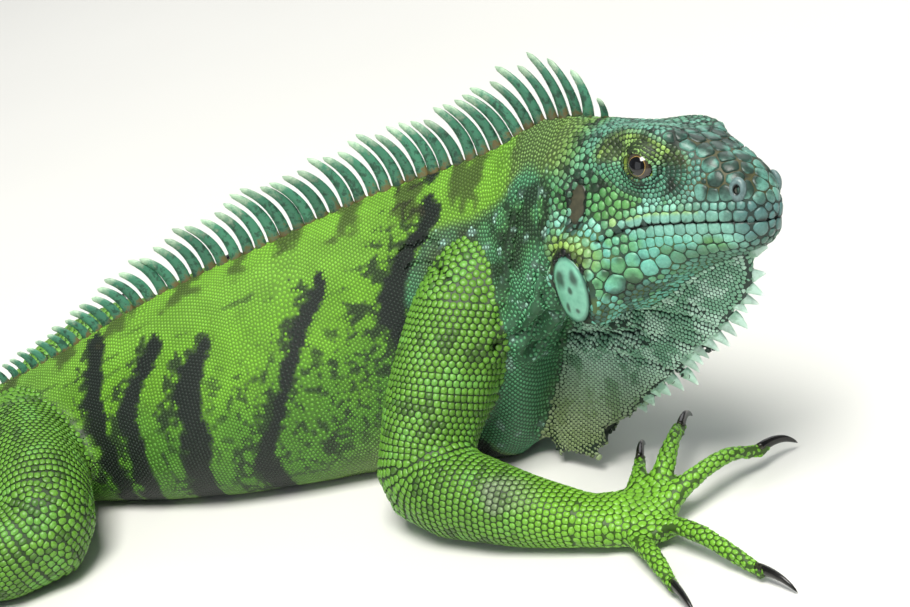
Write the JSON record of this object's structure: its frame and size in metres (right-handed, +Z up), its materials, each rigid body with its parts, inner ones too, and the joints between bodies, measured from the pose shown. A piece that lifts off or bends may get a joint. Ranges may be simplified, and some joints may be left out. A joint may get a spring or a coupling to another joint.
{
  "type": "green iguana",
  "caption": "Life-size still model of an adult green iguana lying on its belly with its head raised, a spiny crest, a hanging dewlap and a long tail.",
  "frame": {"origin": "on the floor under the chest, on the flat that the chest rests on", "axes": "+Z up, +X towards the head and along the length from tail to snout, +Y towards the animal's left side"},
  "size_m": [1.1102, 0.3429, 0.1392],
  "materials": {
    "head_skin": "scaly hide in blue-green plates with dark and yellowish seams",
    "body_skin": "finely scaled bright green hide with dark cross bands",
    "tail_skin": "finely scaled green hide with broad dark rings",
    "limb_skin": "finely scaled green hide with dark seams",
    "dewlap_skin": "beaded pale green hide with dark seams",
    "jowl_plate": "one large smooth pale blue-green scale with dark blotches",
    "eardrum": "thin smooth tan skin",
    "eye": "wet brown iris with a black pupil and a thin gold ring",
    "claw": "smooth black horn"
  },
  "bodies": {
    "root": {"head": "head_skin", "jaw": "head_skin", "dewlap": "dewlap_skin", "neck": "body_skin", "chest": "body_skin", "belly": "body_skin", "pelvis": "body_skin", "tail_1": "tail_skin", "tail_2": "tail_skin", "tail_3": "tail_skin", "tail_4": "tail_skin", "tail_5": "tail_skin", "eye_right": "eye", "tympanum_right": "eardrum", "jowl_plate_right": "jowl_plate", "upper_arm_right": "limb_skin", "forearm_right": "limb_skin", "hand_right": "limb_skin", "thigh_right": "limb_skin", "shin_right": "limb_skin", "foot_right": "limb_skin", "claw_hand_right_1": "claw", "claw_hand_right_2": "claw", "claw_hand_right_3": "claw", "claw_hand_right_4": "claw", "claw_hand_right_5": "claw", "claw_foot_right_1": "claw", "claw_foot_right_2": "claw", "claw_foot_right_3": "claw", "claw_foot_right_4": "claw", "claw_foot_right_5": "claw", "eye_left": "eye", "tympanum_left": "eardrum", "jowl_plate_left": "jowl_plate", "upper_arm_left": "limb_skin", "forearm_left": "limb_skin", "hand_left": "limb_skin", "thigh_left": "limb_skin", "shin_left": "limb_skin", "foot_left": "limb_skin", "claw_hand_left_1": "claw", "claw_hand_left_2": "claw", "claw_hand_left_3": "claw", "claw_hand_left_4": "claw", "claw_hand_left_5": "claw", "claw_foot_left_1": "claw", "claw_foot_left_2": "claw", "claw_foot_left_3": "claw", "claw_foot_left_4": "claw", "claw_foot_left_5": "claw"}
  },
  "joints": []
}
